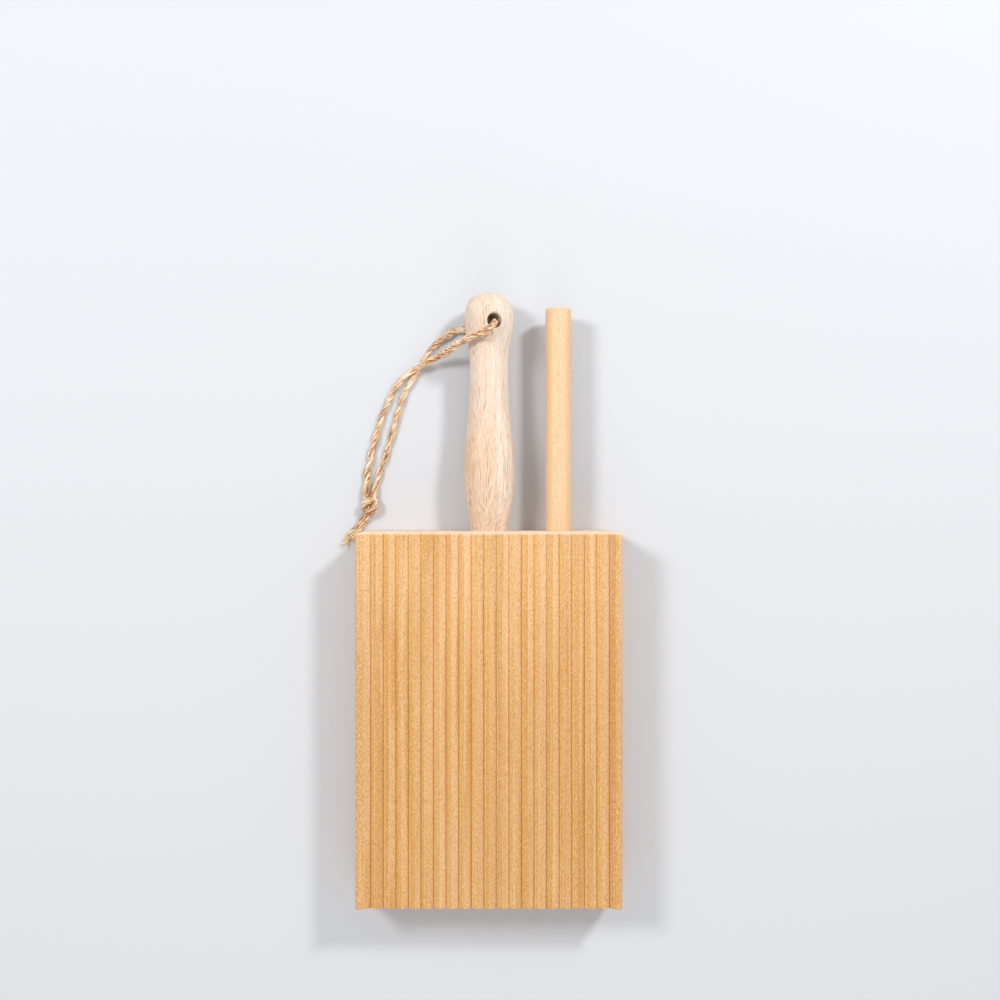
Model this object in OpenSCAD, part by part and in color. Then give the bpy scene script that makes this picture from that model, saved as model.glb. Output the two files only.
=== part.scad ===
// Ridged wooden board for shaping gnocchi, with a turned handle in its end,
// a thin rolling pin kept in a socket beside the handle, and a loop of twine.
// The board lies flat, ridges up, with the handle towards +Y. Millimetres.

/* [Board] */
// Width of the board, across the ridges
board_w = 85; // [60:1:120]
// Length of the board, along the ridges
board_l = 120; // [90:1:200]
// Thickness of the board, to the tops of the ridges
board_t = 20; // [18:0.5:30]
// Round-over of the two long edges beside the ridges
side_round = 1; // [0.5:0.1:1.2]
// Round-over of the two long edges of the underside
under_round = 0.8; // [0.3:0.1:1.5]
// Round-over of the ridges' ends, on the handle's side
end_round = 1.2; // [0.5:0.1:3]
// Sanded corners beside the handle: their size across the board
corner_w = 4.2; // [1:0.1:8]
// Sanded corners beside the handle: their size along the board
corner_l = 1.6; // [0.5:0.1:4]

/* [Ridges] */
// Distance from one groove to the next
ridge_pitch = 4; // [3:0.5:6]
// Height of a ridge above its grooves
ridge_h = 1.8; // [0.8:0.1:3]
// Distance from the board's side to the first groove
side_land = 4.9; // [4.2:0.1:8]
// Shape of a ridge's flanks: 1 is straight and sharp, 2 is well rounded
ridge_shape = 1.35; // [1.1:0.05:2]

/* [Handle] */
// Length of the handle outside the board
handle_l = 77; // [65:1:120]
// Widest radius of the handle's belly
belly_r = 8.12; // [7.2:0.02:8.9]
// Radius of the waist between belly and head
waist_r = 6.3; // [5.6:0.1:7]
// Radius of the handle's head
head_r = 7.9; // [7:0.1:8.9]
// Radius of the handle where it meets the board
foot_r = 5.75; // [5.5:0.05:6.5]
// Radius of the tenon glued into the board
tenon_r = 5; // [3.5:0.1:5.2]
// Length of the tenon
tenon_l = 25; // [15:1:40]
// Room for glue round the tenon and at its end
glue_gap = 0.05; // [0.02:0.01:0.1]
// Radius of the hang hole through the head
hang_r = 2.4; // [2:0.1:3]
// Distance from the handle's tip to the hang hole's centre
hang_from_tip = 9.6; // [8:0.1:12]
// How far the handle was turned about its own axis when it was glued in
handle_turn = 14.3; // [0:0.1:25]

/* [Rolling pin] */
// Diameter of the pin
pin_d = 8.4; // [6:0.1:9]
// Length of the pin
pin_l = 130; // [100:1:160]
// Length of the pin inside its socket
pin_depth = 58; // [30:1:75]
// Distance of the pin's axis from the handle's axis
pin_x = 22.5; // [18:0.5:26]
// Running clearance round the pin, on the radius
pin_clear = 0.1; // [0.05:0.01:0.3]
// Chamfer at both ends of the pin
pin_chamfer = 0.6; // [0.2:0.1:1.2]

/* [Twine] */
// Diameter of the twine
twine_d = 1.8; // [1.4:0.1:1.8]
// Radius of the knot at its middle
knot_r = 2.5; // [2.2:0.1:3]
// Length of the knot
knot_l = 5; // [4:0.1:6]

/* [Hidden] */

beech = "burlywood";
pale_wood = "antiquewhite";
pin_wood = "navajowhite";
jute = "peru";

turned_fn = 96;
twine_sides = 8;
arc_steps = 4;
flank_steps = 4;
over = 1;              // how far a cutter reaches past what it cuts

// The origin is midway along the whole length, under the middle of the board
end_y = board_l - (board_l + handle_l) / 2;
axis_z = board_t / 2;
hang_y = end_y + handle_l - hang_from_tip;
socket_r = pin_d / 2 + pin_clear;
bore_r = tenon_r + glue_gap;

// Where the handle's belly, waist and head lie, as distances from the board
belly_at = 19;
waist_from = handle_l - 29.5;
waist_to = handle_l - 22;
head_at = handle_l - 8.5;
dome_shape = 2.6;
tenon_chamfer = 0.8;

// The ridged face
land_min = ridge_pitch / 2 + side_round + 0.1;
groove_count = floor((board_w - side_land - land_min) / ridge_pitch) + 1;
function groove_x(k) = side_land - board_w / 2 + ridge_pitch * k;

// Height of a ridge's flank, where v goes from 0 in the groove to 1 on the crest
function flank_z(v) = board_t - ridge_h * pow(1 - v, ridge_shape);

function arc_points(x, z, r, from, to) =
    [for (i = [0 : arc_steps]) let (a = from + (to - from) * i / arc_steps) [x + r * cos(a), z + r * sin(a)]];

function rising_flank(k) =
    [for (i = [0 : flank_steps]) let (v = i / flank_steps) [groove_x(k) + v * ridge_pitch / 2, flank_z(v)]];

function falling_flank(k) =
    [for (i = [0 : flank_steps - 1]) let (v = 1 - i / flank_steps) [groove_x(k) - v * ridge_pitch / 2, flank_z(v)]];

// The board's cross-section: underside, right side, ridges from right to left, left side
board_section = concat(
    arc_points(under_round - board_w / 2, under_round, under_round, 180, 270),
    arc_points(board_w / 2 - under_round, under_round, under_round, 270, 360),
    arc_points(board_w / 2 - side_round, board_t - side_round, side_round, 0, 90),
    [for (k = [groove_count - 1 : -1 : 0])
        let (up = falling_flank(k), down = rising_flank(k))
        each concat(
            [for (i = [flank_steps : -1 : 0]) down[i]],
            [for (i = [flank_steps - 1 : -1 : (k == 0 ? 0 : 1)]) up[i]])],
    arc_points(side_round - board_w / 2, board_t - side_round, side_round, 90, 180)
);

// The board seen from above, with its two sanded corners
board_plan = concat(
    [[-board_w / 2, end_y - board_l], [board_w / 2, end_y - board_l]],
    [for (i = [0 : arc_steps]) let (a = 90 * i / arc_steps)
        [board_w / 2 - corner_w * (1 - cos(a)), end_y - corner_l * (1 - sin(a))]],
    [for (i = [0 : arc_steps]) let (a = 90 + 90 * i / arc_steps)
        [corner_w * (1 + cos(a)) - board_w / 2, end_y - corner_l * (1 - sin(a))]]
);

// A half wave from radius r1 at s1 to radius r2 at s2, as the lathe leaves it
function wave(s, s1, r1, s2, r2) = r1 + (r2 - r1) * (1 - cos(180 * (s - s1) / (s2 - s1))) / 2;
function wave_points(s1, r1, s2, r2, n) =
    [for (i = [1 : n]) let (s = s1 + (s2 - s1) * i / n) [wave(s, s1, r1, s2, r2), s]];
function dome_r(u) = head_r * pow(1 - pow(u, dome_shape), 1 / dome_shape);

foot_steps = 6;
belly_steps = 10;
head_steps = 6;
dome_steps = 9;
function foot_wave(s) = foot_r + (belly_r - foot_r) * sin(90 * s / belly_at);

handle_outline = concat(
    [[0, -tenon_l], [tenon_r - tenon_chamfer, -tenon_l], [tenon_r, tenon_chamfer - tenon_l], [tenon_r, 0]],
    [for (i = [0 : foot_steps]) let (s = belly_at * i / foot_steps) [foot_wave(s), s]],
    wave_points(belly_at, belly_r, waist_from, waist_r, belly_steps),
    wave_points(waist_to, waist_r, head_at, head_r, head_steps),
    [for (i = [1 : dome_steps - 1]) let (u = sin(90 * i / dome_steps))
        [dome_r(u), head_at + (handle_l - head_at) * u]],
    [[0, handle_l]]
);

// The twine's route, chosen by hand: from the knot up over the handle's head,
// down through the hang hole, out under the handle and back to the knot
loop_route = [
    [-40.5, 31.6, 2.0], [-40.7, 35.5, 1.2], [-40.2, 41.0, 0.95], [-38.9, 47.0, 0.95],
    [-37.3, 53.0, 0.95], [-35.5, 59.0, 0.95], [-33.2, 64.6, 0.95], [-30.6, 69.2, 1.0],
    [-27.6, 72.3, 1.5], [-24.2, 74.6, 2.5], [-20.8, 76.6, 3.4], [-17.3, 78.2, 4.8],
    [-14.3, 79.6, 7.0], [-11.8, 80.8, 10.0], [-9.5, 82.0, 13.4], [-7.0, 83.0, 16.6],
    [-4.2, 84.0, 18.9], [-1.4, 84.9, 20.1], [0.6, 86.0, 20.2], [1.6, 87.2, 19.7],
    [2.0, 88.2, 18.5], [1.9, 88.6, 16.6], [1.2, 88.8, 12.6], [0.0, 88.9, 8.4],
    [-0.9, 88.9, 5.4], [-2.0, 88.8, 2.9], [-4.5, 88.6, 1.1], [-8.2, 88.1, 0.95],
    [-12.2, 86.8, 0.95], [-16.0, 84.3, 0.95], [-19.2, 81.3, 0.95], [-21.4, 77.8, 0.95],
    [-23.4, 74.2, 0.95], [-25.9, 70.6, 0.95], [-28.2, 66.3, 0.95], [-30.2, 60.3, 0.95],
    [-32.0, 53.5, 0.95], [-34.2, 46.5, 0.95], [-36.8, 39.0, 1.0], [-38.7, 31.7, 2.0]
];
left_tail_route = [
    [-40.9, 27.6, 1.9], [-42.5, 25.5, 1.1], [-44.0, 23.5, 0.95],
    [-45.6, 21.3, 0.95], [-47.1, 19.0, 0.95], [-48.3, 16.7, 0.95]
];
right_tail_route = [
    [-38.8, 27.3, 1.9], [-40.4, 24.9, 1.1], [-41.9, 23.0, 0.95],
    [-43.4, 21.2, 0.95], [-44.8, 19.0, 0.95], [-45.9, 16.2, 0.95]
];
knot_at = [-39.8, 29.6, 2.5];
knot_turn = -4;        // the knot leans with the twine, seen from above
knot_end_r = 1.9;
knot_steps = 8;

function unit(v) = v / norm(v);
function heading(p, i) = unit(p[min(i + 1, len(p) - 1)] - p[max(i - 1, 0)]);
function across(p, i, side) = let (t = heading(p, i)) unit(side - (side * t) * t);

// One direction across the twine for each point, turned as little as it can be
function sides(p) =
    [for (i = 0, side = across(p, 0, [0, 0, 1]);
          i < len(p);
          i = i + 1, side = i < len(p) ? across(p, i, side) : side) side];

// The tube's skin: rings round the route, triangles between them, a fan on each end
module tube(p, r) {
    n = twine_sides;
    last = n * (len(p) - 1);
    rings = [for (i = 0, all = sides(p); i < len(p); i = i + 1)
        let (a = all[i], b = cross(heading(p, i), a))
        each [for (j = [0 : n - 1]) p[i] + r * (cos(360 * j / n) * a + sin(360 * j / n) * b)]];
    walls = [for (i = [0 : len(p) - 2], j = [0 : n - 1])
        let (k = (j + 1) % n, low = n * i, high = n * (i + 1))
        each [[low + j, high + j, high + k], [low + j, high + k, low + k]]];
    first_fan = [for (j = [1 : n - 2]) [0, j, j + 1]];
    last_fan = [for (j = [1 : n - 2]) [last, last + j + 1, last + j]];
    polyhedron(rings, concat(walls, first_fan, last_fan));
}

// Cuts the round-over along the ridges' ends on the handle's side
module end_cutter() {
    translate([-board_w / 2 - over, end_y - end_round, board_t - end_round])
        difference() {
            cube([board_w + 2 * over, end_round + over, end_round + over]);
            translate([-over, 0, 0])
                rotate([0, 90, 0])
                    cylinder(h = board_w + 4 * over, r = end_round, $fn = turned_fn);
        }
}

module board() {
    color(beech)
        difference() {
            intersection() {
                translate([0, end_y, 0])
                    rotate([90, 0, 0])
                        linear_extrude(board_l)
                            polygon(board_section);
                translate([0, 0, -over])
                    linear_extrude(board_t + 2 * over)
                        polygon(board_plan);
            }
            end_cutter();
            translate([0, end_y - tenon_l - glue_gap, axis_z])
                rotate([-90, 0, 0])
                    cylinder(h = tenon_l + glue_gap + over, r = bore_r, $fn = turned_fn);
            translate([pin_x, end_y - pin_depth, axis_z])
                rotate([-90, 0, 0])
                    cylinder(h = pin_depth + over, r = socket_r, $fn = turned_fn);
        }
}

module handle() {
    color(pale_wood)
        difference() {
            translate([0, end_y, axis_z])
                rotate([-90, 0, 0])
                    rotate_extrude($fn = turned_fn)
                        polygon(handle_outline);
            translate([0, hang_y, axis_z])
                rotate([0, handle_turn, 0])
                    cylinder(h = 2 * (head_r + over), r = hang_r, center = true, $fn = turned_fn);
        }
}

module rolling_pin() {
    pin_r = pin_d / 2;
    color(pin_wood)
        translate([pin_x, end_y - pin_depth, axis_z])
            rotate([-90, 0, 0])
                rotate_extrude($fn = turned_fn)
                    polygon([
                        [0, 0], [pin_r - pin_chamfer, 0], [pin_r, pin_chamfer],
                        [pin_r, pin_l - pin_chamfer], [pin_r - pin_chamfer, pin_l], [0, pin_l]
                    ]);
}

module twine_loop() {
    color(jute) tube(loop_route, twine_d / 2);
}

module twine_knot() {
    color(jute)
        translate(knot_at)
            rotate([90, 0, knot_turn])
                rotate_extrude($fn = turned_fn)
                    polygon(concat(
                        [[0, -knot_l / 2]],
                        [for (i = [0 : knot_steps]) let (u = 2 * i / knot_steps - 1)
                            [knot_end_r + (knot_r - knot_end_r) * (1 - u * u), u * knot_l / 2]],
                        [[0, knot_l / 2]]));
}

module twine_tails() {
    color(jute) {
        tube(left_tail_route, twine_d / 2);
        tube(right_tail_route, twine_d / 2);
    }
}

board();
handle();
rolling_pin();
twine_loop();
twine_knot();
twine_tails();
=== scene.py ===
# Ridged gnocchi board with its turned handle, rolling pin and loop of twine.
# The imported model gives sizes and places, and the meshes here are the finish.
import math
import random

import bmesh
import bpy
from mathutils import Matrix, Vector, noise


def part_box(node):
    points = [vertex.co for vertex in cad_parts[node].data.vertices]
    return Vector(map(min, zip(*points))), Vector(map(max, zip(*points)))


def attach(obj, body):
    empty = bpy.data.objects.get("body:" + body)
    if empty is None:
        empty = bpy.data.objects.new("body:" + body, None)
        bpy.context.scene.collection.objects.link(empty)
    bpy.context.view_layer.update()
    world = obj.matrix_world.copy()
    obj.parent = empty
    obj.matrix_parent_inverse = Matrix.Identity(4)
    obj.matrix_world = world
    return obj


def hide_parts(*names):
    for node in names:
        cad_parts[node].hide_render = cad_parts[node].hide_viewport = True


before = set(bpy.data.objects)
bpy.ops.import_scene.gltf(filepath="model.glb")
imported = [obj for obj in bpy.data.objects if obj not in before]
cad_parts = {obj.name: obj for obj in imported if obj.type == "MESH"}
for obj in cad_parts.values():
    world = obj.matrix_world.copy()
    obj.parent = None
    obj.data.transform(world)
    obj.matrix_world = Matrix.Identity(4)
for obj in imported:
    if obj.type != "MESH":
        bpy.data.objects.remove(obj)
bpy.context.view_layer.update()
mm = 0.001
boardLow, boardHigh = (Vector(corner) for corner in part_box("board"))
endY = boardHigh.y  # the end face, where handle and pin go in
axisZ = (boardLow.z + boardHigh.z) / 2  # the height of both their axes
print("frame loaded")


def linearColour(hexText):
    parts = [int(hexText[i:i + 2], 16) / 255 for i in (1, 3, 5)]
    return [p / 12.92 if p <= 0.04045 else ((p + 0.055) / 1.055) ** 2.4 for p in parts] + [1.0]


def addNode(tree, kind, inputs=None, settings=None, links=None):
    node = tree.nodes.new(kind)
    for name, value in (settings or {}).items():
        setattr(node, name, value)
    for name, value in (inputs or {}).items():
        node.inputs[name].default_value = value
    for name, socket in (links or {}).items():
        tree.links.new(socket, node.inputs[name])
    return node


def newMaterial(name):
    material = bpy.data.materials.new(name)
    material.use_nodes = True
    return material, material.node_tree, material.node_tree.nodes["Principled BSDF"]


# Noise whose spots are as large as size, in metres across, along and through the wood
def grain(tree, size, detail=2.0, roughness=0.5, distortion=0.0, shift=(0, 0, 0)):
    place = addNode(tree, "ShaderNodeTexCoord")
    scaled = addNode(tree, "ShaderNodeMapping",
                     inputs={"Scale": [1 / s for s in size], "Location": shift},
                     links={"Vector": place.outputs["Object"]})
    return addNode(tree, "ShaderNodeTexNoise",
                   inputs={"Scale": 1.0, "Detail": detail, "Roughness": roughness,
                           "Distortion": distortion},
                   links={"Vector": scaled.outputs["Vector"]}).outputs[0]


# Growth rings round a pith at (x, z): streaks of that width and length along the wood, arcs on its ends
def growthRings(tree, pith, width, length, detail):
    place = addNode(tree, "ShaderNodeTexCoord")
    fromPith = addNode(tree, "ShaderNodeMapping",
                       inputs={"Location": (-pith[0] / width, 0, -pith[1] / width),
                               "Scale": (1 / width, 1 / length, 1 / width)},
                       links={"Vector": place.outputs["Object"]})
    across = addNode(tree, "ShaderNodeVectorMath", settings={"operation": "MULTIPLY"},
                     inputs={1: (1, 0, 1)}, links={0: fromPith.outputs["Vector"]})
    radius = addNode(tree, "ShaderNodeVectorMath", settings={"operation": "LENGTH"},
                     links={0: across.outputs["Vector"]})
    wobble = grain(tree, (14 * mm, 90 * mm, 14 * mm))
    ringNumber = addNode(tree, "ShaderNodeMath", settings={"operation": "MULTIPLY_ADD"},
                         inputs={1: 0.9}, links={0: wobble, 2: radius.outputs["Value"]})
    along = addNode(tree, "ShaderNodeSeparateXYZ", links={"Vector": fromPith.outputs["Vector"]})
    rings = addNode(tree, "ShaderNodeCombineXYZ",
                    links={"X": ringNumber.outputs["Value"], "Y": along.outputs["Y"]})
    return addNode(tree, "ShaderNodeTexNoise",
                   inputs={"Scale": 1.0, "Detail": detail, "Roughness": 0.6},
                   links={"Vector": rings.outputs["Vector"]}).outputs[0]


# Lays a colour over base, from none of it where the pattern is at low to that amount of it at high.
# Low may be the larger of the two, and within thins the stain wherever it is below 1
def stained(tree, base, pattern, low, high, amount, hexText, within=None):
    share = addNode(tree, "ShaderNodeMapRange", settings={"interpolation_type": "SMOOTHSTEP"},
                    inputs={"From Min": low, "From Max": high, "To Min": 0.0, "To Max": amount},
                    links={"Value": pattern}).outputs["Result"]
    if within:
        share = addNode(tree, "ShaderNodeMath", settings={"operation": "MULTIPLY"},
                        links={0: share, 1: within}).outputs["Value"]
    layer = addNode(tree, "ShaderNodeMix", settings={"data_type": "RGBA"},
                    inputs={7: linearColour(hexText)}, links={0: share})
    if isinstance(base, str):
        layer.inputs[6].default_value = linearColour(base)
    else:
        tree.links.new(base, layer.inputs[6])
    return layer.outputs[2]


def deselectAll():
    if bpy.context.mode != "OBJECT":
        bpy.ops.object.mode_set(mode="OBJECT")
    bpy.ops.object.select_all(action="DESELECT")


def makeActive(piece):
    deselectAll()
    piece.select_set(True)
    bpy.context.view_layer.objects.active = piece


def startEdit(piece):
    makeActive(piece)
    bpy.ops.object.mode_set(mode="EDIT")
    bpy.ops.mesh.select_all(action="DESELECT")


def endEdit(piece):
    bpy.ops.mesh.select_all(action="SELECT")
    bpy.ops.mesh.normals_make_consistent(inside=False)
    bpy.ops.object.mode_set(mode="OBJECT")
    makeActive(piece)
    bpy.ops.object.transform_apply(location=True, rotation=True, scale=True)


# Turns a piece as on a lathe: a disc drawn out along +Y, ring by ring, to pairs of distance and radius
def turned(name, start, outline, segments):
    deselectAll()
    at, radius = outline[0]
    bpy.ops.mesh.primitive_circle_add(vertices=segments, radius=radius, fill_type="NGON",
                                      location=(start[0], start[1] + at, start[2]),
                                      rotation=(math.radians(90), 0, 0))
    piece = bpy.context.object
    piece.name = name
    bpy.ops.object.transform_apply(location=True, rotation=True, scale=True)
    startEdit(piece)
    bpy.ops.mesh.select_all(action="SELECT")
    for nextAt, nextRadius in outline[1:]:
        bpy.ops.mesh.extrude_region_move(TRANSFORM_OT_translate={"value": (0, nextAt - at, 0)})
        grow = nextRadius / radius
        bpy.ops.transform.resize(value=(grow, 1, grow),
                                 center_override=(start[0], start[1] + nextAt, start[2]))
        at, radius = nextAt, nextRadius
    bpy.ops.mesh.select_all(action="DESELECT")
    bpy.ops.mesh.select_non_manifold()
    bpy.ops.mesh.edge_face_add()
    endEdit(piece)
    return piece


def cutAway(piece, cutter):
    makeActive(piece)
    cut = piece.modifiers.new("cut", "BOOLEAN")
    cut.operation = "DIFFERENCE"
    cut.solver = "EXACT"
    cut.object = cutter
    bpy.ops.object.modifier_apply(modifier=cut.name)
    bpy.data.objects.remove(cutter, do_unlink=True)


def finishPiece(piece, body, material, slot, smoothAngle, *nodes):
    makeActive(piece)
    bpy.ops.object.shade_smooth_by_angle(angle=math.radians(smoothAngle))
    piece.data.materials.clear()
    piece.data.materials.append(material)
    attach(piece, body)
    if nodes:
        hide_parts(*nodes)
    print(piece.name, len(piece.data.polygons), "faces")


# The camera looks straight down, from a point nearer the handle's tip than the board's foot
view = {
    "across": 3.6 * mm,
    "along": 31.5 * mm,
    "height": 450 * mm,
    "lens": 48.8,
    "filmWidth": 36.0,
}
cameraData = bpy.data.cameras.new("camera")
cameraData.lens = view["lens"]
cameraData.sensor_width = view["filmWidth"]
cameraData.clip_start = 10 * mm
camera = bpy.data.objects.new("camera", cameraData)
camera.location = (view["across"], view["along"], view["height"])
bpy.context.collection.objects.link(camera)
bpy.context.scene.camera = camera
print("camera placed")

# Two-ply jute twine. The routes' points are in millimetres. Each loose stretch gives where it starts
# and ends along the loop, and how much thicker it is there
twine = {
    "diameter": 1.8 * mm,
    "tail": 1.5 * mm,
    "length": 175 * mm,
    "lay": 13 * mm,
    "step": 0.4 * mm,
    "sides": 20,
    "ply": 0.32,  # a ply's radius and its offset from the middle, as shares of the thickness
    "plyOffset": 0.205,
    "opening": 0.28,  # how far an opened end spreads the plies
    "thinning": 0.35,  # how much a tail thins towards its end
    "swell": 0.12,
    "swellPerMm": 0.35,
    "yarns": 8,
    "yarnTurns": 5.0,
    "rib": 0.1,
    "fray": 0.17,
    "frayPerMm": 1.6,
    "frayAround": 1.9,
    "loose": [(-10 * mm, 30 * mm, 0.2), (52 * mm, 89 * mm, 0.32), (98 * mm, 124 * mm, 0.32),
              (170 * mm, 190 * mm, 0.12)],
    "fade": 8 * mm,  # the length over which a loose stretch begins and ends
    "around": 3 * mm,  # how wide a ply's skin is laid out for the fibres
    "fibre": (0.26 * mm, 3.4 * mm),
    "fibreLean": 9,
    "patch": 3.2 * mm,
    "floor": 0.03 * mm,  # the lowest that any of it lies
    "colours": ("#EABA86", "#FFF1DE", "#652E08"),
    "loop": [
        (-40.0, 30.0, 2.6), (-40.5, 31.6, 2.0), (-40.7, 35.5, 1.2), (-40.2, 41.0, 0.95),
        (-38.9, 47.0, 0.95), (-37.3, 53.0, 0.95), (-35.5, 59.0, 0.95), (-33.2, 64.6, 0.95),
        (-30.6, 69.2, 1.0), (-27.6, 72.3, 1.5), (-24.2, 74.6, 2.5), (-20.8, 76.6, 3.4), (-17.3, 78.2, 4.8),
        (-14.3, 79.6, 7.0), (-11.8, 80.8, 10.0), (-9.5, 82.0, 13.4), (-7.0, 83.0, 16.6),
        (-4.2, 84.0, 18.9), (-1.4, 84.9, 20.1), (0.6, 86.0, 20.2), (1.6, 87.2, 19.7),
        (2.0, 88.2, 18.5), (1.9, 88.6, 16.6), (1.2, 88.8, 12.6), (0.0, 88.9, 8.4),
        (-0.9, 88.9, 5.4), (-2.0, 88.8, 2.9), (-4.5, 88.6, 1.1), (-8.2, 88.1, 0.95),
        (-12.2, 86.8, 0.95), (-16.0, 84.3, 0.95), (-19.2, 81.3, 0.95), (-21.4, 77.8, 0.95),
        (-23.4, 74.2, 0.95), (-25.9, 70.6, 0.95), (-28.2, 66.3, 0.95), (-30.2, 60.3, 0.95),
        (-32.0, 53.5, 0.95), (-34.2, 46.5, 0.95), (-36.8, 39.0, 1.0), (-38.7, 31.7, 2.0),
        (-39.1, 30.0, 2.6),
    ],
    "leftTail": [
        (-39.9, 28.8, 2.2), (-40.6, 27.6, 1.9), (-42.0, 25.2, 1.0), (-43.6, 23.2, 0.8),
        (-45.2, 21.1, 0.8), (-46.7, 19.0, 0.8), (-47.8, 16.8, 0.8),
    ],
    "rightTail": [
        (-39.1, 28.8, 2.2), (-39.2, 27.3, 1.9), (-40.9, 24.5, 1.1), (-42.5, 22.4, 0.8),
        (-43.9, 20.6, 0.8), (-45.2, 18.6, 0.8),
    ],
}


# A point between b and c on the smooth curve through a, b, c and d
def curvePoint(a, b, c, d, share):
    ta = 0.0
    tb = ta + math.sqrt((b - a).length)
    tc = tb + math.sqrt((c - b).length)
    td = tc + math.sqrt((d - c).length)
    t = tb + (tc - tb) * share
    ab = a.lerp(b, (t - ta) / (tb - ta))
    bc = b.lerp(c, (t - tb) / (tc - tb))
    cd = c.lerp(d, (t - tc) / (td - tc))
    return ab.lerp(bc, (t - ta) / (tc - ta)).lerp(bc.lerp(cd, (t - tb) / (td - tb)), share)


# The same line in steps of equal length
def evenly(points, step):
    lengths = [0.0]
    for a, b in zip(points, points[1:]):
        lengths.append(lengths[-1] + (b - a).length)
    count = max(2, round(lengths[-1] / step))
    out = []
    j = 0
    for i in range(count + 1):
        want = lengths[-1] * i / count
        while j < len(points) - 2 and lengths[j + 1] < want:
            j += 1
        out.append(points[j].lerp(points[j + 1], (want - lengths[j]) / (lengths[j + 1] - lengths[j])))
    return out


# A smooth line through points given in millimetres
def smoothRoute(points, step):
    given = [Vector(p) * mm for p in points]
    ends = [2 * given[0] - given[1]] + given + [2 * given[-1] - given[-2]]
    parts = 24
    fine = [curvePoint(*ends[i:i + 4], k / parts) for i in range(len(given) - 1) for k in range(parts)]
    return evenly(fine + [given[-1]], step)


# Each point with three directions: ahead, and two across that turn as little as they can
def routeFrames(route):
    out = []
    side = Vector((0, 0, 1))
    for i, point in enumerate(route):
        ahead = (route[min(i + 1, len(route) - 1)] - route[max(i - 1, 0)]).normalized()
        side = (side - side.dot(ahead) * ahead).normalized()
        out.append((point, ahead, side, ahead.cross(side)))
    return out


def meshPiece(name, mesh):
    data = bpy.data.meshes.new(name)
    mesh.to_mesh(data)
    mesh.free()
    piece = bpy.data.objects.new(name, data)
    bpy.context.collection.objects.link(piece)
    return piece


# How much thicker the twine is where it has come loose, at a distance along it
def loosenedBy(distance, stretches):
    most = 0.0
    for start, end, amount in stretches:
        inside = min(1.0, max(0.0, min(distance - start, end - distance) / twine["fade"]))
        most = max(most, amount * inside * inside * (3 - 2 * inside))
    return 1 + most


# Two plies wound round the route, each ribbed by its own yarns, which wind the other way. Each ply reads
# the noise in a place of its own, so that the two aren't alike
def addTwine(mesh, route, diameter, opening=0.0, startTurn=0.0, thinning=0.0, stretches=()):
    strip = mesh.loops.layers.uv.verify()
    frames = routeFrames(route)
    step = (route[1] - route[0]).length
    sides = twine["sides"]
    for ply in (0, 1):
        rings = []
        for i, (point, _, side, up) in enumerate(frames):
            share = i / (len(frames) - 1)
            wound = 2 * math.pi * i * step / twine["lay"]
            turn = startTurn + math.pi * ply + wound
            thick = diameter * loosenedBy(i * step, stretches)
            apart = thick * (twine["plyOffset"] + twine["opening"] * opening * share ** 4)
            centre = point + apart * (math.cos(turn) * side + math.sin(turn) * up)
            wave = noise.noise(Vector((i * step / mm * twine["swellPerMm"], ply * 9.1, diameter / mm)))
            plain = thick * twine["ply"] * (1 + twine["swell"] * wave) * (1 - thinning * share ** 3)
            ring = []
            for j in range(sides):
                around = 2 * math.pi * j / sides
                rib = math.cos(twine["yarns"] * around + twine["yarnTurns"] * wound)
                fray = noise.noise(Vector((i * step / mm * twine["frayPerMm"],
                                           twine["frayAround"] * math.cos(around) + 7 * ply,
                                           twine["frayAround"] * math.sin(around))))
                radius = plain * (1 + twine["rib"] * rib + twine["fray"] * fray)
                out = math.cos(around + turn) * side + math.sin(around + turn) * up
                spot = centre + radius * out
                spot.z = max(spot.z, twine["floor"])
                ring.append(mesh.verts.new(spot))
            rings.append(ring)
        for i, (low, high) in enumerate(zip(rings, rings[1:])):
            for j in range(sides):
                k = (j + 1) % sides
                face = mesh.faces.new((low[j], low[k], high[k], high[j]))
                corners = ((j, i), (j + 1, i), (j + 1, i + 1), (j, i + 1))
                for loop, (u, v) in zip(face.loops, corners):
                    loop[strip].uv = (u / sides * twine["around"], v * step + ply * 50 * mm)
        mesh.faces.new(list(reversed(rings[0])))
        mesh.faces.new(rings[-1])


# The turned handle: its radii, and their distances from the board's end
handle = {
    "length": 77 * mm,
    "foot": 5.75 * mm,
    "belly": 8.12 * mm,
    "bellyAt": 19 * mm,
    "waist": 6.3 * mm,
    "waistFrom": 47.5 * mm,
    "waistTo": 55 * mm,
    "head": 7.9 * mm,
    "headAt": 68.5 * mm,
    "domeShape": 2.6,
    "tip": 0.5 * mm,
    "tenon": 5 * mm,
    "tenonLength": 25 * mm,
    "tenonChamfer": 0.8 * mm,
    "glueGap": 0.05 * mm,
    "hangHole": 2.4 * mm,
    "holeFromTip": 9.6 * mm,
    "turn": 14.3,  # how many degrees the hang hole leans
    "mouthFlare": 1.5,
    "mouthIn": 0.45 * mm,
    "mouthOut": 0.6 * mm,
    "rings": 44,
    "domeRings": 14,
    "segments": 96,
}


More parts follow.
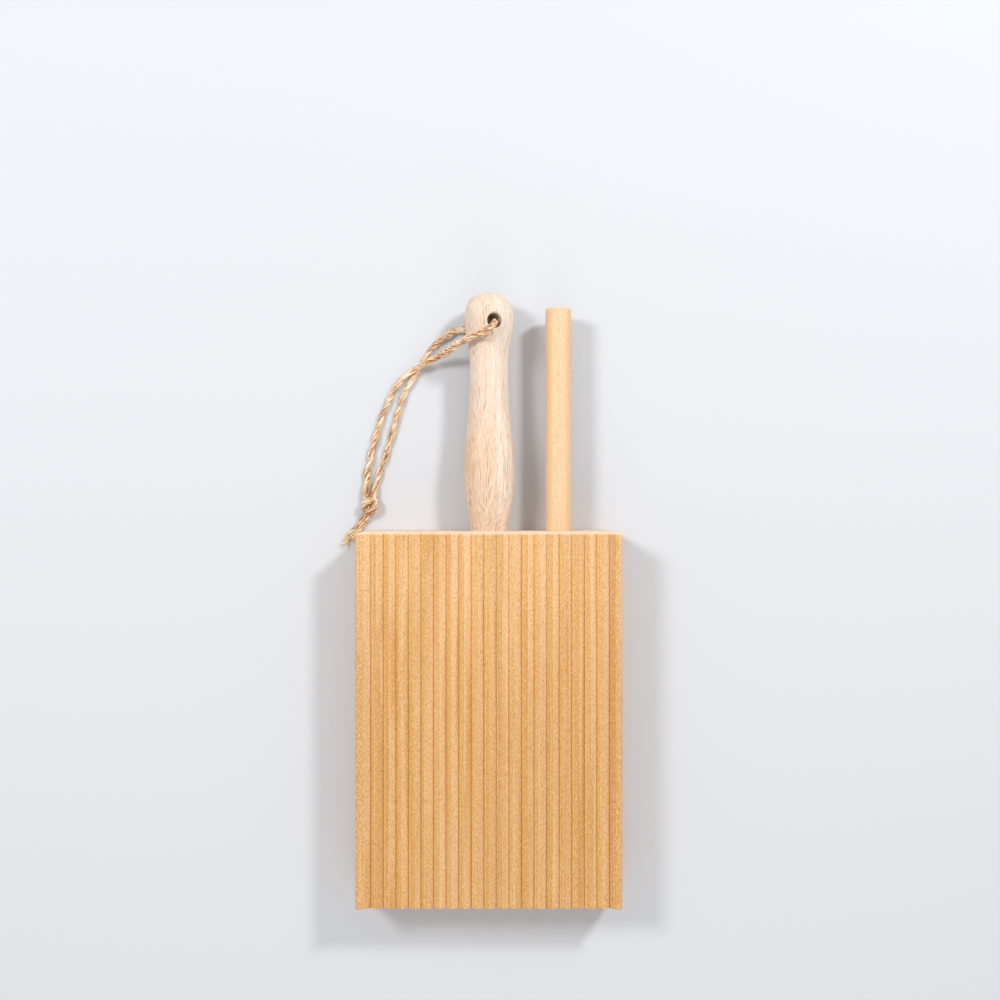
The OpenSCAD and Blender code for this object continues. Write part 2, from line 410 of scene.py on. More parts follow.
# The handle's radius at a distance s from the board, which the twine's hairs also keep clear of
def handleRadius(s):
    if s < 0 or s > handle["length"]:
        return 0.0
    if s <= handle["bellyAt"]:
        swelling = math.sin(math.pi / 2 * s / handle["bellyAt"])
        return handle["foot"] + (handle["belly"] - handle["foot"]) * swelling
    waves = (
        (handle["bellyAt"], handle["belly"], handle["waistFrom"], handle["waist"]),
        (handle["waistFrom"], handle["waist"], handle["waistTo"], handle["waist"]),
        (handle["waistTo"], handle["waist"], handle["headAt"], handle["head"]),
    )
    for s1, r1, s2, r2 in waves:
        if s <= s2:
            return r1 + (r2 - r1) * (1 - math.cos(math.pi * (s - s1) / (s2 - s1))) / 2
    u = (s - handle["headAt"]) / (handle["length"] - handle["headAt"])
    return handle["head"] * max(0.0, 1 - u ** handle["domeShape"]) ** (1 / handle["domeShape"])


# Loose hairs that stand off the twine. Pairs are the least and the most, and lengths are in millimetres
hairs = {
    "radius": 0.06 * mm,
    "root": 0.4,  # how far out they start, as a share of the twine's thickness
    "length": (0.8, 3.4),
    "lean": (0.6, 1.0),
    "curl": (-0.7, 0.7),
    "rise": (0.25, 0.8),
    "droop": 0.35,
    "clear": 0.1 * mm,  # from the handle
    "perMm": 5.5,
    "onKnot": 110,
    "knotLength": (0.5, 1.8),
    "onTail": 50,
    "onTailEnd": 140,
    "endLength": (0.8, 2.2),
    "endSteps": 9,
    "colours": ("#EFD5AC", "#FBF0DA", "#CFA876"),
}


# Each hair is a thin three-sided spike that curls and droops. None is made that would touch the handle
def addHairs(mesh, route, diameter, count, seed, length=hairs["length"]):
    draw = random.Random(seed)
    strip = mesh.loops.layers.uv.verify()
    frames = routeFrames(route)
    for n in range(count):
        point, ahead, side, up = frames[draw.randrange(len(frames))]
        angle = draw.uniform(0, 2 * math.pi)
        out = math.cos(angle) * side + math.sin(angle) * up
        long = mm * draw.uniform(*length)
        lean = ahead * draw.choice((-1, 1)) * draw.uniform(*hairs["lean"])
        curl = ahead.cross(out) * draw.uniform(*hairs["curl"])
        rise = draw.uniform(*hairs["rise"])
        spine = []
        for k in range(5):
            share = k / 4
            spot = point + out * diameter * hairs["root"]
            bend = curl - hairs["droop"] * rise * out
            spot = spot + long * (share * (lean + rise * out) + share * share * bend)
            spot.z = max(spot.z, 2 * twine["floor"])
            spine.append(spot)
        gaps = [math.hypot(p.x, p.z - axisZ) - handleRadius(p.y - endY) for p in spine]
        if min(gaps) < hairs["clear"]:
            continue
        rings = []
        for k, spot in enumerate(spine):
            radius = hairs["radius"] * (1.15 - k / 4)
            corners = [math.cos(a) * out + math.sin(a) * ahead.cross(out) for a in (0, 2.1, 4.2)]
            rings.append([mesh.verts.new(spot + radius * corner) for corner in corners])
        for low, high in zip(rings, rings[1:]):
            for j in range(3):
                k = (j + 1) % 3
                face = mesh.faces.new((low[j], low[k], high[k], high[j]))
                for loop in face.loops:
                    loop[strip].uv = (n * 0.37 * mm, 0)
        mesh.faces.new(list(reversed(rings[0])))
        mesh.faces.new(rings[-1])
    bmesh.ops.recalc_face_normals(mesh, faces=mesh.faces)


# Jute, spun and twisted and left undyed: dry and matt, golden brown, with pale and dark fibres that lean
# round each ply, and with painted shade darkening the crease where the two plies meet
def juteMaterial(name, base, pale, dark):
    material, tree, shader = newMaterial(name)
    strip = addNode(tree, "ShaderNodeUVMap")
    lean = addNode(tree, "ShaderNodeMapping",
                   inputs={"Rotation": (0, 0, math.radians(twine["fibreLean"])),
                           "Scale": (1 / twine["fibre"][0], 1 / twine["fibre"][1], 1)},
                   links={"Vector": strip.outputs[0]})
    fibres = addNode(tree, "ShaderNodeTexNoise", inputs={"Scale": 1.0, "Detail": 3.0, "Roughness": 0.6},
                     links={"Vector": lean.outputs[0]}).outputs[0]
    patches = grain(tree, [twine["patch"]] * 3)
    colour = stained(tree, base, fibres, 0.5, 0.6, 0.95, pale)
    colour = stained(tree, colour, fibres, 0.485, 0.395, 0.92, dark)
    colour = stained(tree, colour, patches, 0.52, 0.68, 0.5, pale)
    colour = stained(tree, colour, patches, 0.46, 0.32, 0.35, dark)
    # Painted shade: each ply is darkened along its inner side, in the crease where it meets the other ply
    split = addNode(tree, "ShaderNodeSeparateXYZ", links={"Vector": strip.outputs[0]})
    shadedCreaseSide = addNode(tree, "ShaderNodeMath", settings={"operation": "SUBTRACT"},
                         inputs={1: twine["around"] / 2}, links={0: split.outputs["X"]})
    fromShadedCrease = addNode(tree, "ShaderNodeMath", settings={"operation": "ABSOLUTE"},
                         links={0: shadedCreaseSide.outputs["Value"]})
    colour = stained(tree, colour, fromShadedCrease.outputs["Value"], 0.75 * mm, 0.1 * mm, 0.75, dark)
    tree.links.new(colour, shader.inputs["Base Color"])
    shader.inputs["Roughness"].default_value = 0.85
    shader.inputs["Specular IOR Level"].default_value = 0.3
    bump = addNode(tree, "ShaderNodeBump", inputs={"Strength": 0.7, "Distance": 0.06 * mm},
                   links={"Height": fibres})
    tree.links.new(bump.outputs[0], shader.inputs["Normal"])
    return material


jute = juteMaterial("two-ply jute twine", *twine["colours"])
juteHair = juteMaterial("loose jute fibre", *hairs["colours"])

loopRoute = smoothRoute(twine["loop"], twine["step"])
mesh = bmesh.new()
addTwine(mesh, loopRoute, twine["diameter"], stretches=twine["loose"])
twineLoop = meshPiece("twineLoop", mesh)
finishPiece(twineLoop, "twine", jute, "twine_jute", 60, "twine_loop")

# The knot winds on a tube round a ring, drawn out and pressed flat. Its three tilts are in degrees
knot = {
    "centre": (-39.4, 29.6, 2.55),
    "ring": 1.25 * mm,
    "tube": 0.92 * mm,
    "stretch": 2.25,
    "flatten": 0.9,
    "strand": 1.32 * mm,
    "apart": 1.05 * mm,
    "lean": 18,
    "turn": -14,
    "spin": 40,
    "points": 160,
    "hairSpread": 1.6,
}


# An overhand knot of both strands, pulled tight: its path winds three times round a ring, twice along it
def knotRoute(shift):
    settle = (Matrix.Translation(Vector(knot["centre"]) * mm)
              @ Matrix.Diagonal((1, 1, knot["flatten"], 1))
              @ Matrix.Rotation(math.radians(knot["turn"]), 4, "Z")
              @ Matrix.Rotation(math.radians(90 + knot["lean"]), 4, "X")
              @ Matrix.Rotation(math.radians(knot["spin"]), 4, "Z"))
    path = []
    count = knot["points"]
    for i in range(count + 1):
        t = math.pi / 3 + 2 * math.pi * i / count
        a, b = 2 * t, 3 * t
        out = Vector((math.cos(b) * math.cos(a), math.cos(b) * math.sin(a), math.sin(b)))
        spot = Vector((math.cos(a), math.sin(a), 0)) * knot["ring"] + out * knot["tube"]
        path.append((Vector((spot.x, spot.y, spot.z * knot["stretch"])), out))
    points = []
    for i, (spot, out) in enumerate(path):
        ahead = (path[(i + 1) % count][0] - path[(i - 1) % count][0]).normalized()
        points.append(settle @ (spot + shift * knot["apart"] * ahead.cross(out)))
    return evenly(points, 0.6 * twine["step"])  # finer than elsewhere, for its tight bends


mesh = bmesh.new()
for shift in (-0.5, 0.5):
    addTwine(mesh, knotRoute(shift), knot["strand"], startTurn=shift)
twineKnot = meshPiece("twineKnot", mesh)
finishPiece(twineKnot, "twine", jute, "twine_jute", 60, "twine_knot")

mesh = bmesh.new()
leftTail = smoothRoute(twine["leftTail"], twine["step"])
rightTail = smoothRoute(twine["rightTail"], twine["step"])
addTwine(mesh, leftTail, twine["tail"], opening=0.6, thinning=twine["thinning"])
addTwine(mesh, rightTail, twine["tail"], opening=0.4, startTurn=1.1, thinning=twine["thinning"])
twineTails = meshPiece("twineTails", mesh)
finishPiece(twineTails, "twine", jute, "twine_jute", 60, "twine_tails")

mesh = bmesh.new()
loopLength = (len(loopRoute) - 1) * (loopRoute[1] - loopRoute[0]).length
addHairs(mesh, loopRoute, twine["diameter"], int(loopLength / mm * hairs["perMm"]), 11)
addHairs(mesh, knotRoute(0), knot["strand"] * knot["hairSpread"], hairs["onKnot"], 12, hairs["knotLength"])
for seed, tail in ((13, leftTail), (14, rightTail)):
    addHairs(mesh, tail, twine["tail"], hairs["onTail"], seed)
    addHairs(mesh, tail[-hairs["endSteps"]:], twine["tail"] * 0.9, hairs["onTailEnd"], seed + 10,
             hairs["endLength"])
twineHairs = meshPiece("twineHairs", mesh)
finishPiece(twineHairs, "twine", juteHair, "twine_jute", 60)

print("twine laid")

# Rubberwood, turned and sanded: pale cream with a pink cast, tanner at the belly and on the side nearer
# the heart, with faint bands and streaks along it and thin brown pore lines that gather in the belly
rubberwood = {
    "cream": "#D9CEC3",
    "pink": "#D7C1AE",
    "tan": "#D1A67A",
    "pale": "#EEE0D2",
    "pore": "#9C6A3E",
}


def rubberwoodMaterial():
    material, tree, shader = newMaterial("turned rubberwood")
    place = addNode(tree, "ShaderNodeTexCoord")
    spot = addNode(tree, "ShaderNodeSeparateXYZ", links={"Vector": place.outputs["Object"]})
    tone = grain(tree, (5 * mm, 60 * mm, 5 * mm), 3.0, 0.55, 0.4)
    colour = stained(tree, rubberwood["cream"], tone, 0.35, 0.65, 0.7, rubberwood["pink"])
    heartSide = addNode(tree, "ShaderNodeMath", settings={"operation": "MULTIPLY_ADD"},
                        inputs={1: 12 * mm}, links={0: tone, 2: spot.outputs["X"]}).outputs["Value"]
    colour = stained(tree, colour, spot.outputs["Y"], endY + 52 * mm, endY + 22 * mm, 0.48,
                     rubberwood["tan"])
    colour = stained(tree, colour, heartSide, 11 * mm, -1 * mm, 0.18, rubberwood["tan"])
    colour = stained(tree, colour, heartSide, 8 * mm, 12 * mm, 0.75, rubberwood["pale"])
    rings = addNode(tree, "ShaderNodeMapping",
                    inputs={"Location": (-26 * mm, 0, 12 * mm),
                            "Rotation": (math.radians(4), 0, math.radians(3))},
                    links={"Vector": place.outputs["Object"]})
    bands = addNode(tree, "ShaderNodeTexWave",
                    settings={"wave_type": "RINGS", "rings_direction": "Y", "wave_profile": "SAW"},
                    inputs={"Scale": 0.35 / (3.2 * mm), "Distortion": 1.6, "Detail": 2.0,
                            "Detail Scale": 0.8},
                    links={"Vector": rings.outputs[0]}).outputs["Fac"]
    colour = stained(tree, colour, bands, 0.5, 1.0, 0.27, rubberwood["tan"])
    streaks = grain(tree, (0.5 * mm, 22 * mm, 0.5 * mm), 2.0, 0.5, shift=(5, 2, 1))
    colour = stained(tree, colour, streaks, 0.53, 0.7, 0.3, rubberwood["pale"])
    colour = stained(tree, colour, streaks, 0.46, 0.32, 0.3, rubberwood["tan"])
    speckle = grain(tree, (0.22 * mm, 3.2 * mm, 0.42 * mm), 2.0, 0.6, shift=(2, 6, 4))
    colour = stained(tree, colour, speckle, 0.47, 0.68, 0.4, rubberwood["pale"])
    colour = stained(tree, colour, speckle, 0.53, 0.34, 0.3, rubberwood["tan"])
    pores = grain(tree, (0.18 * mm, 9 * mm, 0.32 * mm), 1.5, 0.5)
    clusters = grain(tree, (1.8 * mm, 26 * mm, 1.8 * mm), 2.0, 0.5, shift=(3, 1, 8))
    inBelly = addNode(tree, "ShaderNodeMapRange", settings={"interpolation_type": "SMOOTHSTEP"},
                      inputs={"From Min": endY + 55 * mm, "From Max": endY + 25 * mm, "To Max": 0.035},
                      links={"Value": spot.outputs["Y"]})
    crowded = addNode(tree, "ShaderNodeMath", settings={"operation": "MULTIPLY_ADD"},
                      inputs={1: 0.45}, links={0: clusters, 2: inBelly.outputs["Result"]})
    poreLines = addNode(tree, "ShaderNodeMath", settings={"operation": "ADD"},
                        links={0: pores, 1: crowded.outputs["Value"]}).outputs["Value"]
    colour = stained(tree, colour, poreLines, 0.87, 0.93, 0.7, rubberwood["pore"])
    tree.links.new(colour, shader.inputs["Base Color"])
    shader.inputs["Roughness"].default_value = 0.55
    bump = addNode(tree, "ShaderNodeBump", settings={"invert": True},
                   inputs={"Strength": 0.4, "Distance": 0.05 * mm}, links={"Height": pores})
    tree.links.new(bump.outputs[0], shader.inputs["Normal"])
    return material


# Tenon, then foot to head, then the dome
def handleOutline():
    tenon, tenonEnd, chamfer = handle["tenon"], -handle["tenonLength"], handle["tenonChamfer"]
    outline = [(tenonEnd, tenon - chamfer), (chamfer + tenonEnd, tenon), (0.0, tenon)]
    for i in range(handle["rings"] + 1):
        s = handle["headAt"] * i / handle["rings"]
        outline.append((s if i else 0.001 * mm, handleRadius(s)))  # clear of the tenon's last ring
    domeLength = handle["length"] - handle["headAt"]
    for i in range(1, handle["domeRings"] + 1):
        s = handle["headAt"] + domeLength * math.sin(math.pi / 2 * i / handle["domeRings"])
        outline.append((s, max(handleRadius(s), handle["tip"])))
    return outline


# A drill for the hang hole, as wide as its mouths where it enters and leaves the head
def hangHoleDrill():
    hole = handle["hangHole"]
    wide = hole * handle["mouthFlare"]
    skin = handle["head"]
    far, outer, inner = skin + 4 * mm, skin + handle["mouthOut"], skin - handle["mouthIn"]
    outline = [(-far, wide), (-outer, wide), (-inner, hole), (inner, hole), (outer, wide), (far, wide)]
    drill = turned("hangHoleDrill", (0, 0, 0), outline, handle["segments"] // 2)
    drill.rotation_euler = (math.radians(90), 0, 0)
    makeActive(drill)
    bpy.ops.object.transform_apply(location=False, rotation=True, scale=False)
    drill.rotation_euler = (0, math.radians(handle["turn"]), 0)
    drill.location = (0, endY + handle["length"] - handle["holeFromTip"], axisZ)
    bpy.ops.object.transform_apply(location=True, rotation=True, scale=False)
    return drill


handlePiece = turned("turnedHandle", (0, endY, axisZ), handleOutline(), handle["segments"])
cutAway(handlePiece, hangHoleDrill())
finishPiece(handlePiece, "board_with_handle", rubberwoodMaterial(), "handle_rubberwood", 35, "handle")
print("handle turned")


# Beech, planed or turned and left unoiled: warm tan with straight pinkish and ochre streaks, fine
# brown flecks, and ring arcs full of pores on its cut ends, which are tinted paler as a painted highlight.
# The face with the ridges is browner on the lands beside them; it has painted shade in its grooves and
# towards its foot, and painted highlights on its crests, on the flanks that face +X and towards its head
# end. Flecks and speckle are drawn coarser than real
def beechMaterial(name, wood, pith, ridgeFoot=None):
    material, tree, shader = newMaterial(name)
    streaky = wood["streaky"]
    place = addNode(tree, "ShaderNodeTexCoord")
    facing = addNode(tree, "ShaderNodeSeparateXYZ", links={"Vector": place.outputs["Normal"]})
    spot = addNode(tree, "ShaderNodeSeparateXYZ", links={"Vector": place.outputs["Object"]})
    tone = growthRings(tree, pith, 1.3 * mm, 280 * mm, 4.0)
    colour = stained(tree, wood["ochre"], tone, 0.5, 0.62, 0.75 * streaky, wood["pink"])
    colour = stained(tree, colour, tone, 0.46, 0.34, 0.65 * streaky, wood["brown"])
    wide = growthRings(tree, (pith[0] - 4 * mm, pith[1]), 3.4 * mm, 400 * mm, 1.0)
    colour = stained(tree, colour, wide, 0.48, 0.64, 0.42 * streaky, wood["pink"])
    colour = stained(tree, colour, wide, 0.46, 0.3, 0.3 * streaky, wood["brown"])
    if ridgeFoot:
        faceUp = addNode(tree, "ShaderNodeMapRange", settings={"interpolation_type": "SMOOTHSTEP"},
                         inputs={"From Min": 0.3, "From Max": 0.6}, links={"Value": facing.outputs["Z"]})
        fromMiddle = addNode(tree, "ShaderNodeMath", settings={"operation": "ABSOLUTE"},
                             links={0: spot.outputs["X"]})
        # Painted highlight: faces that point straight up, such as the rounded crests, are made paler
        colour = stained(tree, colour, facing.outputs["Z"], 0.8, 0.97, 0.45, wood["pale"])
        colour = stained(tree, colour, fromMiddle.outputs["Value"], boardHigh.x - 5.2 * mm,
                         boardHigh.x - 3.8 * mm, 0.85, wood["land"], within=faceUp.outputs["Result"])
        # Painted highlight: the flanks that face +X, towards the brighter lamp, are made paler
        colour = stained(tree, colour, facing.outputs["X"], 0.1, 0.5, 0.55, wood["pale"],
                         within=faceUp.outputs["Result"])
        colour = stained(tree, colour, fromMiddle.outputs["Value"], boardHigh.x - 0.7 * mm,
                         boardHigh.x - 0.1 * mm, 0.65, wood["side"])
        # Painted light and shade: the face is made pinker towards the head end and browner towards the foot
        colour = stained(tree, colour, spot.outputs["Y"], boardHigh.y - 50 * mm, boardHigh.y - 5 * mm, 0.3,
                         wood["pink"])
        colour = stained(tree, colour, spot.outputs["Y"], boardHigh.y, boardHigh.y - 75 * mm, 0.3,
                         wood["brown"])
    broad = growthRings(tree, pith, 9 * mm, 150 * mm, 2.0)
    colour = stained(tree, colour, broad, 0.46, 0.68, 0.35, wood["brown"])
    lines = growthRings(tree, pith, 0.55 * mm, 120 * mm, 2.0)
    colour = stained(tree, colour, lines, 0.52, 0.64, 0.8 * streaky, wood["brown"])
    paleLines = growthRings(tree, (pith[0] + 9 * mm, pith[1]), 0.45 * mm, 140 * mm, 2.0)
    colour = stained(tree, colour, paleLines, 0.53, 0.64, 0.5 * streaky, wood["pink"])
    flecks = grain(tree, (0.26 * mm, 1.5 * mm, 0.26 * mm), 1.0, 0.5, shift=(8, 2, 5))
    colour = stained(tree, colour, flecks, 0.6, 0.72, 0.45, wood["fleck"])
    speckle = grain(tree, (0.15 * mm, 0.8 * mm, 0.15 * mm), 2.0, 0.6, shift=(2, 6, 4))
    colour = stained(tree, colour, speckle, 0.46, 0.68, wood["speckled"], wood["pink"])
    colour = stained(tree, colour, speckle, 0.54, 0.34, wood["speckled"], wood["brown"])
    endwise = addNode(tree, "ShaderNodeMath", settings={"operation": "ABSOLUTE"},
                      links={0: facing.outputs["Y"]}).outputs["Value"]
    endGrain = addNode(tree, "ShaderNodeMapRange", settings={"interpolation_type": "SMOOTHSTEP"},
                       inputs={"From Min": 0.1, "From Max": 0.6}, links={"Value": endwise}).outputs["Result"]
    # Painted highlight: the end faces are made paler and pinker; the ring tone and pores on them are the
    # wood's own
    colour = stained(tree, colour, endGrain, 0.0, 1.0, 0.35, wood["ends"])
    colour = stained(tree, colour, tone, 0.5, 0.6, 0.5, wood["brown"], within=endGrain)
    endPores = grain(tree, (0.24 * mm, 3 * mm, 0.24 * mm), 1.0, 0.5, shift=(6, 1, 7))
    colour = stained(tree, colour, endPores, 0.52, 0.66, 0.4, wood["fleck"], within=endGrain)
    if ridgeFoot:
        # Painted shade: the groove bottoms are darkened, the more so away from the head end
        onFace = addNode(tree, "ShaderNodeMath", settings={"operation": "GREATER_THAN"},
                         inputs={1: ridgeFoot - 0.12 * mm}, links={0: spot.outputs["Z"]})
        deeper = addNode(tree, "ShaderNodeMapRange",
                         inputs={"From Min": boardHigh.y, "From Max": boardHigh.y - 60 * mm, "To Min": 0.72},
                         links={"Value": spot.outputs["Y"]})
        inGroove = addNode(tree, "ShaderNodeMath", settings={"operation": "MULTIPLY"},
                           links={0: onFace.outputs["Value"], 1: faceUp.outputs["Result"]})
        shaded = addNode(tree, "ShaderNodeMath", settings={"operation": "MULTIPLY"},
                         links={0: inGroove.outputs["Value"], 1: deeper.outputs["Result"]})
        colour = stained(tree, colour, spot.outputs["Z"], ridgeFoot + 0.3 * mm, ridgeFoot, 0.68,
                         wood["groove"], within=shaded.outputs["Value"])
        # Painted highlight: a pale band where the head end rounds over
        colour = stained(tree, colour, spot.outputs["Y"], boardHigh.y - 1.3 * mm,
                         boardHigh.y - 0.7 * mm, 0.6, wood["ends"])
    tree.links.new(colour, shader.inputs["Base Color"])
    shader.inputs["Roughness"].default_value = 0.6
    height = addNode(tree, "ShaderNodeMath", settings={"operation": "MULTIPLY_ADD"},
                     inputs={1: 0.6}, links={0: speckle, 2: flecks}).outputs["Value"]
    bump = addNode(tree, "ShaderNodeBump", settings={"invert": True},
                   inputs={"Strength": 0.5, "Distance": 0.05 * mm}, links={"Height": height})
    tree.links.new(bump.outputs[0], shader.inputs["Normal"])
    return material


# The rolling pin. Its hidden end has the chamfer, and its crisp end the endChamfer and the endTaper
pin = {
    "radius": 4.2 * mm,
    "chamfer": 0.6 * mm,
    "endChamfer": 0.25 * mm,
    "endTaper": 0.08 * mm,
    "x": 22.5 * mm,
    "clearance": 0.1 * mm,
    "uneven": 0.006,
    "rings": 40,
    "segments": 64,
}
pinWood = {
    "pith": (34 * mm, 3 * mm),
    "ochre": "#DEBA90",
    "pink": "#E8C8A6",
    "brown": "#D5AA7D",
    "fleck": "#B07C4C",
    # ends paints a highlight on the pin's end faces
    "ends": "#E6C6A4",
    "streaky": 0.45,
    "speckled": 0.6,
}


def makePin():
    low, high = (Vector(corner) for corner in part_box("rolling_pin"))
    length = high.y - low.y
    radius, chamfer = pin["radius"], pin["chamfer"]
    outline = [(0.0, radius - chamfer), (0.3 * chamfer, radius - 0.55 * chamfer), (chamfer, radius)]
    for i in range(1, pin["rings"]):
        outline.append((chamfer + (length - 3 * chamfer) * i / pin["rings"], radius))
    end, endRadius = pin["endChamfer"], radius - pin["endTaper"]
    outline += [(length - 2 * chamfer, radius), (length - end, endRadius),
                (length - 0.3 * end, endRadius - 0.45 * end), (length, endRadius - end)]
    piece = turned("pinDowel", (pin["x"], low.y, axisZ), outline, pin["segments"])
    for vertex in piece.data.vertices:
        across = Vector((vertex.co.x - pin["x"], 0, vertex.co.z - axisZ))
        wave = noise.noise(Vector((across.x / mm * 0.4, vertex.co.y / mm * 0.05, across.z / mm * 0.4)))
        vertex.co -= across * (pin["uneven"] + pin["uneven"] * wave)
    return piece


pinPiece = makePin()
pinBeech = beechMaterial("beech dowel", pinWood, pinWood["pith"])
finishPiece(pinPiece, "pin", pinBeech, "pin_beech", 35, "rolling_pin")
print("rolling pin turned")

# The board. A flank's shares run from its groove, 0, to its crest, 1, which is sanded round from crestFrom
board = {
    "pitch": 4 * mm,
    "ridge": 1.8 * mm,
    "sideLand": 4.9 * mm,
    "flank": [0.0, 0.05, 0.3, 0.6, 0.86, 0.92, 0.97],
    "crestFrom": 0.86,
    "crestDrop": 0.21 * mm,
    "sideRound": 1 * mm,
    "underRound": 0.8 * mm,
    "endRound": 1.0 * mm,
    "footRound": 0.25 * mm,
    "cornerAcross": 4.2 * mm,
    "cornerAlong": 1.6 * mm,
    "cornerReach": 12 * mm,
    "crestWander": 0.22 * mm,
    "crestLower": 0.16 * mm,
    "grooveWander": 0.05 * mm,
    "crumble": 0.03 * mm,
    "straightEdge": 2 * mm,
    "socketMouth": (0.35 * mm, 0.3 * mm),
    "rows": 56,
    "drillSegments": 64,
}
boardWood = {
    "pith": (-140 * mm, -90 * mm),
    "ochre": "#D8A452",
    "pink": "#EECB9C",
    # pale paints the highlights on the crests and on the flanks that face +X
    "pale": "#F1D4B2",
    "brown": "#C0883A",
    "fleck": "#8A5A2A",
    # groove paints the shade in the groove bottoms
    "groove": "#905F0C",
    # ends paints a highlight on the end faces and along the rounded head end
    "ends": "#EED5BF",
    "land": "#B58046",
    "side": "#D09C68",
    "streaky": 1.0,
    "speckled": 0.75,
}


# How far a flank is below its crest. It runs straight up from the groove and rounds over at the top
def flankDrop(v):
    bend, drop = board["crestFrom"], board["crestDrop"]
    if v < bend:
        return board["ridge"] + (drop - board["ridge"]) * v / bend
    return drop * ((1 - v) / (1 - bend)) ** 1.25


# The columns across the ridged face: each has its place and its depth below the crests
def ridgeColumns():
    half = (boardHigh.x - boardLow.x) / 2
    pitch, around = board["pitch"], board["sideRound"]
    count = int((2 * half - board["sideLand"] - pitch / 2 - around - 0.1 * mm) / pitch) + 1
    draw = random.Random(4)
    columns = []
    for i in range(6):
        a = math.pi / 2 * i / 5
        columns.append((around * (1 - math.cos(a)) - half, around * (1 - math.sin(a))))
    flank = board["flank"]
    crest = board["sideLand"] - half - pitch / 2
    columns.append(((columns[-1][0] + crest) / 2, 0.0))
    for k in range(count):
        groove = board["sideLand"] - half + pitch * k
        columns.append((crest, 0.0))
        for v in reversed(flank):
            columns.append((groove + (crest - groove) * v, flankDrop(v)))
        last = k == count - 1
        crest = groove + pitch / 2 + (0.0 if last else draw.uniform(-1, 1) * board["crestWander"])
        lower = 0.0 if last else draw.uniform(0.0, board["crestLower"])
        for v in flank[1:]:
            columns.append((groove + (crest - groove) * v, flankDrop(v) + lower * v))
    columns.append((crest, 0.0))
    columns.append(((half - around + crest) / 2, 0.0))
    for x, drop in reversed([(-x, d) for x, d in columns[:6]]):
        columns.append((x, drop))
    return columns


# How far a rounded edge is below its face, at a distance from the edge
def roundDrop(distance, radius):
    inside = max(0.0, radius - distance)
    return radius - math.sqrt(max(0.0, radius * radius - inside * inside))


# The rows along the board, close together where its ends round over
def boardRows():
    length = boardHigh.y - boardLow.y
    foot = [0.0, 0.08, 0.25, 0.8]
    head = [0.0, 0.06, 0.2, 0.4, 0.65, 1.0, 1.4, 2.4]
    steps = board["rows"]
    rows = [f * mm for f in foot]
    start, stop = rows[-1], length - head[-1] * mm
    rows += [start + (stop - start) * i / steps for i in range(1, steps)]
    rows += [length - h * mm for h in reversed(head)]
    return [boardLow.y + r for r in rows]


# A grid shaped into the ridged face, its open edge drawn down and rounded under, then both holes drilled
def makeBoard():
    columns, rows = ridgeColumns(), boardRows()
    half = (boardHigh.x - boardLow.x) / 2
    middle = (boardHigh.y + boardLow.y) / 2
    deselectAll()
    bpy.ops.mesh.primitive_grid_add(x_subdivisions=len(columns) - 1, y_subdivisions=len(rows) - 1, size=1,
                                    location=(0, 0, 0))
    piece = bpy.context.object
    piece.name = "ridgedBoard"
    across = sorted({round(v.co.x, 5) for v in piece.data.vertices})
    along = sorted({round(v.co.y, 5) for v in piece.data.vertices})
    for vertex in piece.data.vertices:
        x, drop = columns[across.index(round(vertex.co.x, 5))]
        y = rows[along.index(round(vertex.co.y, 5))]
        inner = min(1.0, max(0.0, (half - abs(x)) / board["straightEdge"]))
        wander = noise.noise(Vector((x / mm * 0.23, y / mm * 0.035, 3.1))) * board["grooveWander"]
        crumble = noise.noise(Vector((x / mm * 1.3, y / mm * 0.4, 8.4))) * board["crumble"]
        drop += roundDrop(boardHigh.y - y, board["endRound"])
        drop += roundDrop(y - boardLow.y, board["footRound"])
        overCorner = max(0.0, (abs(x) - half + board["cornerAcross"]) / board["cornerAcross"])
        near = max(0.0, 1 - (boardHigh.y - y) / board["cornerReach"])
        y -= board["cornerAlong"] * (1 - math.sqrt(max(0.0, 1 - overCorner ** 2))) * near
        vertex.co = (x + wander * inner, y, boardHigh.z - drop - abs(crumble) * inner)
    startEdit(piece)
    bpy.ops.mesh.select_non_manifold()
    bpy.ops.mesh.extrude_region_move(TRANSFORM_OT_translate={"value": (0, 0, -4 * mm)})
    under = board["underRound"]
    levels = [boardHigh.z * 0.5, under]
    for level in levels:
        mesh = bmesh.from_edit_mesh(piece.data)
        for vertex in mesh.verts:
            if vertex.select:
                vertex.co.z = level
        bmesh.update_edit_mesh(piece.data)
        if level != levels[-1]:
            bpy.ops.mesh.extrude_region_move(TRANSFORM_OT_translate={"value": (0, 0, 0)})
    inset = 0.0
    rounds = 4
    for i in range(1, rounds + 1):
        a = math.pi / 2 * i / rounds
        nextInset = under * (1 - math.cos(a))
        bpy.ops.mesh.extrude_region_move(TRANSFORM_OT_translate={"value": (0, 0, 0)})
        shrink = [(h - nextInset) / (h - inset) for h in (half, boardHigh.y - middle)]
        bpy.ops.transform.resize(value=(shrink[0], shrink[1], 1), center_override=(0, middle, 0))
        mesh = bmesh.from_edit_mesh(piece.data)
        for vertex in mesh.verts:
            if vertex.select:
                vertex.co.z = under * (1 - math.sin(a))
        bmesh.update_edit_mesh(piece.data)
        inset = nextInset
    bpy.ops.mesh.edge_face_add()
    endEdit(piece)
    segments, past = board["drillSegments"], 3 * mm
    bore = handle["tenon"] + handle["glueGap"]
    depth = handle["tenonLength"] + handle["glueGap"]
    cutAway(piece, turned("tenonDrill", (0, endY, axisZ), [(-depth, bore), (past, bore)], segments))
    socket = pin["radius"] + pin["clearance"]
    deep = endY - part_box("rolling_pin")[0][1]
    mouthDepth, mouthWidth = board["socketMouth"]
    outline = [(-deep, socket), (-mouthDepth, socket), (0.0, socket + mouthWidth), (past, socket + past)]
    cutAway(piece, turned("socketDrill", (pin["x"], endY, axisZ), outline, segments))
    return piece


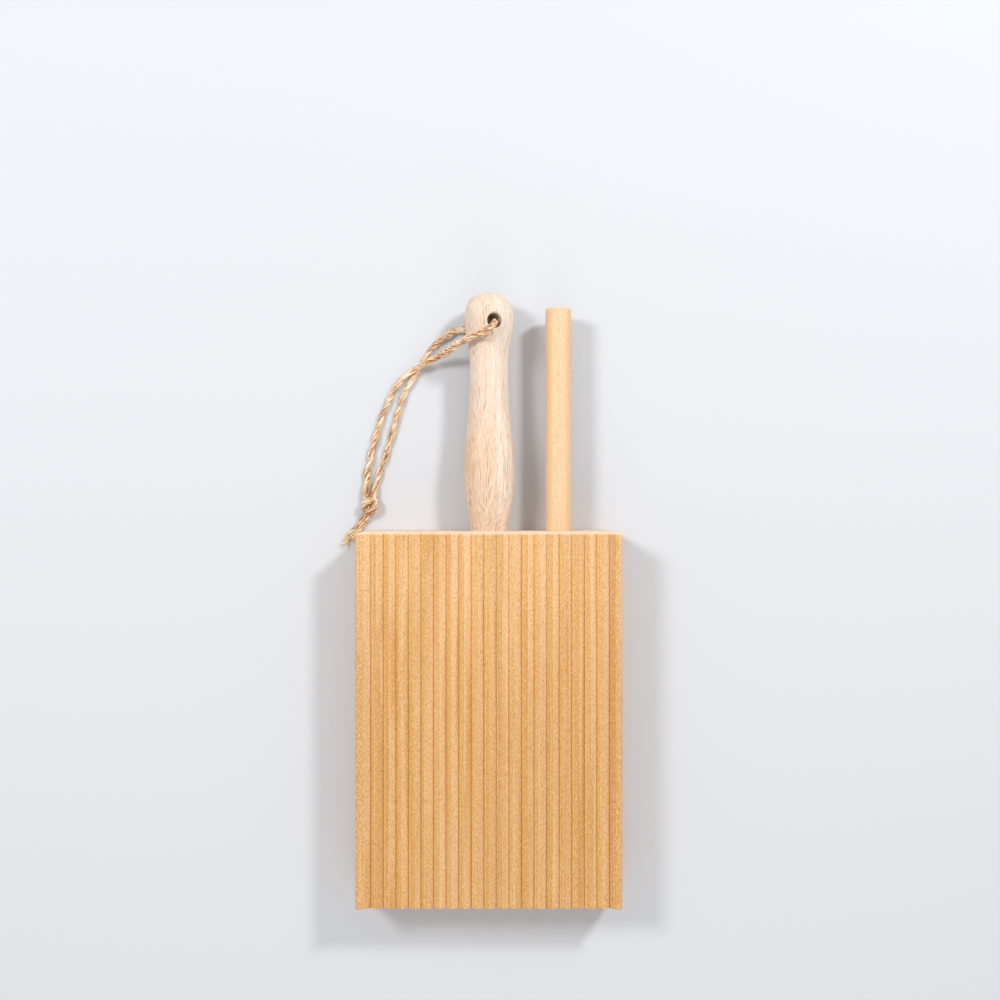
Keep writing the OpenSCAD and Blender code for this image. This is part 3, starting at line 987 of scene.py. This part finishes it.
boardPiece = makeBoard()
boardBeech = beechMaterial("planed beech", boardWood, boardWood["pith"], boardHigh.z - board["ridge"])
finishPiece(boardPiece, "board_with_handle", boardBeech, "board_beech", 25, "board")
print("board cut")

# A pale matt sweep in soft light, with a small lamp high on either side and a weak wide one at the foot.
# It whitens far off, where the lamps don't reach
studio = {
    "floor": "#CACCD0",
    "farFloor": "#FFFFFF",
    "whitens": (0.45, 1.6),
    "floorSize": 12.0,
    "floorRoughness": 0.9,
    "world": 0.6,
    "lamps": [
        {"name": "rightLamp", "at": (0.4, 0.43, 0.55), "size": 0.12, "power": 3.3},
        {"name": "leftLamp", "at": (-0.45, 0.3, 0.62), "size": 0.2, "power": 3.05},
        {"name": "footLamp", "at": (0.05, -0.6, 0.4), "size": 0.5, "power": 0.9},
    ],
}


def lightStudio():
    deselectAll()
    bpy.ops.mesh.primitive_plane_add(size=studio["floorSize"], location=(0, 0, 0))
    floor = bpy.context.object
    floor.name = "floor"
    material, tree, shader = newMaterial("matt paper sweep")
    place = addNode(tree, "ShaderNodeTexCoord")
    distance = addNode(tree, "ShaderNodeVectorMath", settings={"operation": "LENGTH"},
                       links={0: place.outputs["Object"]}).outputs["Value"]
    colour = stained(tree, studio["floor"], distance, *studio["whitens"], 1.0, studio["farFloor"])
    tree.links.new(colour, shader.inputs["Base Color"])
    shader.inputs["Roughness"].default_value = studio["floorRoughness"]
    floor.data.materials.append(material)
    for lamp in studio["lamps"]:
        data = bpy.data.lights.new(lamp["name"], "AREA")
        data.shape = "DISK"
        data.size = lamp["size"]
        data.energy = lamp["power"]
        light = bpy.data.objects.new(lamp["name"], data)
        light.location = lamp["at"]
        light.rotation_euler = (-Vector(lamp["at"])).to_track_quat("-Z", "Y").to_euler()
        bpy.context.collection.objects.link(light)
    world = bpy.data.worlds.new("softStudio")
    world.use_nodes = True
    background = world.node_tree.nodes["Background"]
    background.inputs["Color"].default_value = linearColour("#FFFFFF")
    background.inputs["Strength"].default_value = studio["world"]
    bpy.context.scene.world = world
    bpy.context.scene.view_settings.view_transform = "Standard"


lightStudio()
print("studio lit")
